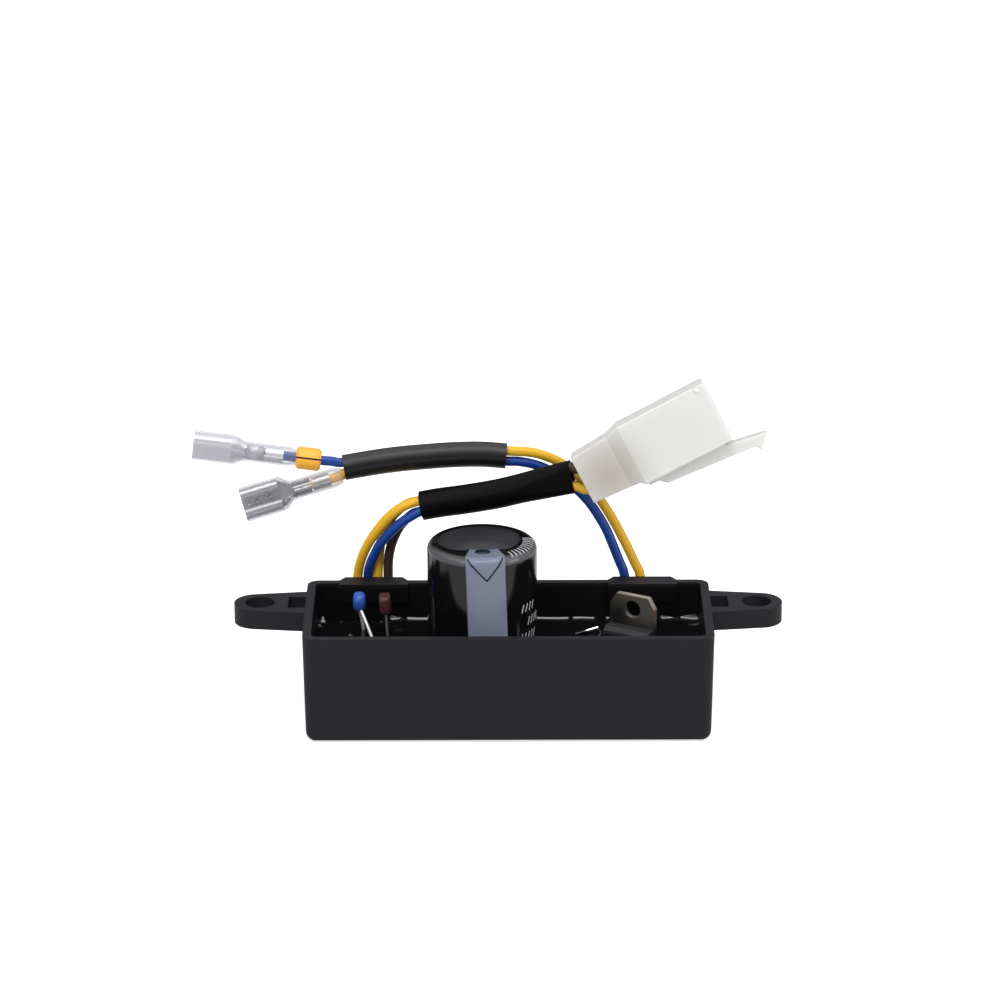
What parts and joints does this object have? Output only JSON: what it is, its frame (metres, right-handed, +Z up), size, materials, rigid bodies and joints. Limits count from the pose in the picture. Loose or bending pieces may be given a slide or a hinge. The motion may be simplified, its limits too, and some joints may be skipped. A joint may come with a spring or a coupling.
{
  "type": "automatic voltage regulator",
  "caption": "Potted voltage regulator for a small generator: open black box with mounting ears, tall capacitor, a latched plug lead and push-on terminal leads.",
  "frame": {"origin": "centre of the box's flat underside", "axes": "+X along the box to the plug's side, +Y to the rear wall where the wires leave, +Z up out of the open box"},
  "size_m": [0.1195, 0.0413, 0.066],
  "materials": {
    "housing": "satin moulded black",
    "potting": "gloss black resin",
    "board": "bare laminate",
    "can": "drawn",
    "shrink_sleeve": "black shrink film with a grey stripe",
    "dark_disc": "satin",
    "bung": "matt",
    "tinned": "tinned",
    "tab_metal": "dull plated",
    "black_mould": "matt",
    "blue_dip": "dipped gloss",
    "maroon_dip": "dipped gloss",
    "dark_lead": "coated",
    "resistor_tan": "lacquer",
    "yellow_pvc": "semi gloss",
    "blue_pvc": "semi gloss",
    "brown_pvc": "semi gloss",
    "black_pvc": "semi gloss",
    "white_nylon": "slightly translucent",
    "orange_pvc": "semi gloss",
    "clear_pvc": "clear soft"
  },
  "bodies": {
    "root": {"housing": "housing", "potting": "potting", "circuit_board": "board", "capacitor_can": "can", "capacitor_sleeve": "shrink_sleeve", "capacitor_disc": "dark_disc", "capacitor_bung": "bung", "capacitor_pins": "tinned", "transistor_tab": "tab_metal", "transistor_body": "black_mould", "transistor_leads": "tinned", "blue_capacitor": "blue_dip", "blue_capacitor_leads": "tinned", "film_capacitor": "maroon_dip", "film_capacitor_leads": "dark_lead", "rectifier_diodes": "black_mould", "diode_leads": "tinned", "resistors": "resistor_tan", "resistor_leads": "tinned", "yellow_wire_1": "yellow_pvc", "blue_wire_1": "blue_pvc", "yellow_wire_2": "yellow_pvc", "brown_wire": "brown_pvc", "blue_wire_2": "blue_pvc", "yellow_wire_3": "yellow_pvc", "plug_sleeve": "black_pvc", "brush_sleeve": "black_pvc", "plug_housing": "white_nylon", "plug_terminals": "tinned", "wire_marker": "orange_pvc", "upper_terminal": "tinned", "lower_terminal": "tinned", "upper_cover": "clear_pvc", "lower_cover": "clear_pvc"}
  },
  "joints": []
}
